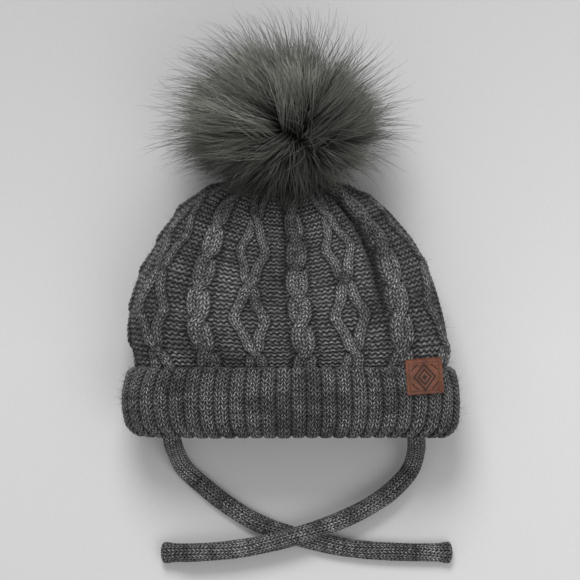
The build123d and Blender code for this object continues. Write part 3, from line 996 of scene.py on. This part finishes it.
def build_guard_hair():
    """Long, thin, dark-tipped hairs that stand out of the fur."""
    count, steps = GUARD_HAIRS, GUARD_TAPER.size
    n = unit(rng.normal(size=(count, 3)))
    reach = 1.0 + 0.52 * rng.beta(1.6, 1.8, count)
    reach = reach * (1 - 0.30 * smoothstep(0.1, 0.8, -n[:, 1])
                     + 0.08 * smoothstep(0.3, 0.9, n[:, 1]))
    reach = reach * (1 - 0.25 * smoothstep(0.5, 1.0, n @ unit(PARTING)))
    slide = rng.uniform(0.2, 0.7, count)
    swirl = rng.normal(0.1, 0.3, count)
    pole = unit(unit(PARTING) + rng.normal(0, 0.1, (count, 3)))
    lines = grow(n, rng.normal(0, 0.4, (count, 3)), reach, slide, swirl, pole, steps)
    lines = clear_of_hat(lines, rng.uniform(0, 4.0, (count, 1)))
    width = GUARD_WIDTH * np.ones((count, 1)) * GUARD_TAPER
    along = np.broadcast_to(np.linspace(0, 1, steps)[None, :], width.shape)
    data = {"along": along,
            "shade": np.repeat(rng.uniform(0.4, 1.0, count)[:, None], steps, axis=1),
            "warm": np.repeat(rng.uniform(0, 1, count)[:, None], steps, axis=1)}
    dress(strand_mesh("pom_guard_hair", lines, width, data), GUARD, "fur", "pom", "pom_pelt")


def build_underfur():
    """Dense underfur that the strands grow out of; its near-black colour is painted shade deep inside
    the fur.
    """
    rows, cols = 90, 180
    v, u = np.meshgrid(np.linspace(0.02, math.pi - 0.02, rows),
                       np.linspace(0, TAU, cols, endpoint=False), indexing="ij")
    n = np.stack([np.sin(v) * np.cos(u), np.sin(v) * np.sin(u), np.cos(v)], -1)
    tuft = value_noise(u * 14, v * 14, 3, 88) + 0.5 * value_noise(u * 28, v * 28, 4, 176)
    points = STUFFING_CENTRE + n * (UNDERFUR_RADIUS + 1.0 * tuft)[..., None]
    # the low shade value paints the shade deep inside the fur
    data = {"along": 0.1 + 0.2 * tuft, "shade": 0.1 + 0.1 * tuft, "warm": 0 * tuft}
    obj = make_mesh("pom_underfur", points, grid_quads(rows, cols, True), data,
                    sheet_uv(rows, cols))
    dress(obj, FUR, "fur", "pom", "pom_pelt")


build_fur()
build_guard_hair()
build_underfur()


# ------------------------------------------------------------------ lining

LINING_HALF_WIDTH, LINING_HALF_DEPTH = 87.5, 17.0  # inside the band
CROWN_GAP = 3.6  # from the crown's knit to the lining
LINING_TOP_DROP = 4.0


def fleece_material():
    s = Surface("charcoal_fleece")
    place = s.place()
    nub = s.noise(place, 420, 3.0)
    fine = s.noise(place, 1900, 2.0)
    level = s.times(s.ramp(nub, 0.3, 0.72), s.span(fine, 0.3, 0.7, 0.6, 1.2))
    s.relief(nub, 0.8, 0.8)
    return s.finish(s.mix(level, (0.018, 0.018, 0.020), (0.115, 0.115, 0.122)), 1.0, 0.05, 0.35)


def build_lining():
    """Brushed cap inside the hat; it turns over at its lower edge inside the band."""
    path = [(y, 0.5) for y in np.linspace(20.0, 10.5, 6)]
    for a in np.linspace(0, math.pi, 9)[1:-1]:
        path.append((10.3 - 1.0 * math.sin(a), 1.5 - 1.0 * math.cos(a)))
    path += [(y, 2.6) for y in np.linspace(10.5, 150.0, 230)]
    path = np.array(path)
    cols = 760
    shares = np.arange(cols) / cols
    rings = hermite(CROWN, path[:, 0])
    in_crown = smoothstep(34.0, 44.0, path[:, 0])
    base = np.empty((len(path), cols, 3))
    for k, (y, inward) in enumerate(path):
        cx, w, cz, d = rings[k]
        b = in_crown[k]
        top = smoothstep(128.0, 153.5, y)
        half_w = LINING_HALF_WIDTH * (1 - b) + (w - CROWN_GAP) * b - inward
        half_d = LINING_HALF_DEPTH * (1 - b) + (d - CROWN_GAP) * b - inward - top
        x, z = ring(cx * b, half_w, CUFF_MID_Z * (1 - b) + cz * b, max(half_d, 2.0), shares)
        base[k] = np.stack([x, np.full(cols, y - LINING_TOP_DROP * top), z], -1)
    normal = grid_normals(base, True)
    if normal[len(path) // 2, 0, 2] > 0:
        normal = -normal
    a = (shares * 190)[None, :] + 0 * path[:, :1]
    b = path[:, :1] / 2.3 + 0 * shares[None, :]
    nap = value_noise(a, b, 71, 190) + 0.6 * value_noise(a * 2, b * 2.1, 72, 380)
    wave = 1.2 * (value_noise(a / 19, b / 9, 73, 10) - 0.5)
    inner = (path[:, 1] > 1.5)[:, None]
    points = base + normal * np.where(inner, 0.75 * nap + wave, 0.0)[..., None]
    fleece = fleece_material()
    for obj in panels("fleece_lining_panel", points, {"nap": nap}, 2):
        dress(obj, fleece, "fleece", "hat", "fleece_lining")


build_lining()


# ------------------------------------------------------------------ small pieces kept from the CAD

def small_material(name, dark, light, scale, stretch, rough, relief, sheen=0.0):
    """Mottled, slightly raised surface for threads, felt and small plastic pieces."""
    s = Surface(name)
    strand = s.noise(s.place(), scale, 3.0, stretch)
    s.relief(strand, relief, 0.7)
    return s.finish(s.mix(s.ramp(strand, 0.35, 0.65), dark, light), rough, 0.25, sheen)


THREAD = small_material("dark_thread", (0.018, 0.018, 0.02), (0.10, 0.10, 0.105),
                        2400, (1, 1.6, 1), 0.8, 0.15)
LABEL_THREAD = small_material("brown_thread", (0.05, 0.02, 0.01), (0.26, 0.11, 0.05),
                              2600, (1, 2.2, 1), 0.75, 0.12)
ELASTIC = small_material("braided_elastic", (0.02, 0.02, 0.022), (0.13, 0.13, 0.14),
                         1500, (2.4, 1, 1), 0.7, 0.3)
PLASTIC = small_material("clear_grey_plastic", (0.30, 0.30, 0.31), (0.42, 0.42, 0.43),
                         300, (1, 1, 1), 0.35, 0.05)
FELT = small_material("grey_felt", (0.05, 0.05, 0.052), (0.16, 0.16, 0.165),
                      900, (1, 1, 1), 1.0, 0.5, 0.3)
FILLING = small_material("fibre_filling", (0.48, 0.47, 0.44), (0.72, 0.71, 0.68),
                         260, (1, 1, 1), 1.0, 1.5, 0.3)

SMALL_PIECES = {
    "cuff_link_seam": THREAD, "lining_hem_stitch": THREAD, "crown_gather_thread": THREAD,
    "pom_gather_thread": THREAD, "left_tie_bartack": THREAD, "right_tie_bartack": THREAD,
    "label_stitches": LABEL_THREAD, "pom_elastic_loop": ELASTIC, "pom_anchor_washer": PLASTIC,
    "pom_base_disc": FELT, "pom_stuffing": FILLING,
}
for node_name, material in SMALL_PIECES.items():
    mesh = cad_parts[node_name].data
    mesh.materials.clear()
    mesh.materials.append(material)


# ------------------------------------------------------------------ floor, light, camera

FLOOR_HALF = 2.6
FLOOR_MID_Y = 0.09
FLOOR_Z = -0.0004  # just under the resting surface


def plain_floor():
    """Pale floor with painted light: a little lighter to the right and near the lower edge of the view.
    """
    steps = 40
    edge = np.linspace(-FLOOR_HALF, FLOOR_HALF, steps)
    x, y = np.meshgrid(edge, edge)
    points = np.stack([x, y + FLOOR_MID_Y, np.full_like(x, FLOOR_Z)], -1) / MM
    floor = make_mesh("floor", points, grid_quads(steps, steps))
    s = Surface("pale_floor")
    place = s.place()
    grain = s.ramp(s.noise(place, 900, 2.0), 0.0, 1.0)
    colour = s.mix(grain, (0.61, 0.61, 0.615), (0.65, 0.65, 0.655))
    parts = s.split(place)
    # painted light falling off across the floor
    right = s.span(parts[0], -0.3, 0.3, -0.06, 0.06)
    away = s.span(parts[1], 0.03, 0.35, 0.10, -0.194)
    shade = s.math("ADD", s.math("ADD", right, away), 0.826)
    floor.data.materials.append(s.finish(s.shaded(colour, shade), 0.85, 0.1))


def area_light(name, place, target, size, power):
    data = bpy.data.lights.new(name, "AREA")
    data.shape = "DISK"
    data.size = size
    data.energy = power
    obj = bpy.data.objects.new(name, data)
    obj.location = place
    obj.rotation_mode = "QUATERNION"
    obj.rotation_quaternion = (Vector(target) - Vector(place)).to_track_quat("-Z", "Y")
    bpy.context.scene.collection.objects.link(obj)


plain_floor()
area_light("key_light", (-0.25, 1.48, 1.5), (0, 0.07, 0), 1.1, 34)
area_light("fill_light", (0.9, -0.92, 1.6), (0, 0.07, 0), 1.6, 9)
world = bpy.data.worlds.new("studio")
world.use_nodes = True
background = world.node_tree.nodes["Background"]
background.inputs["Color"].default_value = (1.0, 1.0, 1.0, 1)
background.inputs["Strength"].default_value = 0.55
bpy.context.scene.world = world
bpy.context.scene.view_settings.view_transform = "Standard"

VIEW_WIDTH = 0.348  # width of the view at the height of the hat's middle
VIEW_MID = (-0.0006, 0.0669, 0.035)
LENS, SENSOR = 300, 36
camera_data = bpy.data.cameras.new("camera")
camera_data.lens = LENS
camera_data.sensor_width = SENSOR
camera_data.clip_start = 0.05
camera = bpy.data.objects.new("camera", camera_data)
camera.location = (VIEW_MID[0], VIEW_MID[1], VIEW_MID[2] + VIEW_WIDTH / SENSOR * LENS)
camera.rotation_euler = (0, 0, 0)
bpy.context.scene.collection.objects.link(camera)
bpy.context.scene.camera = camera
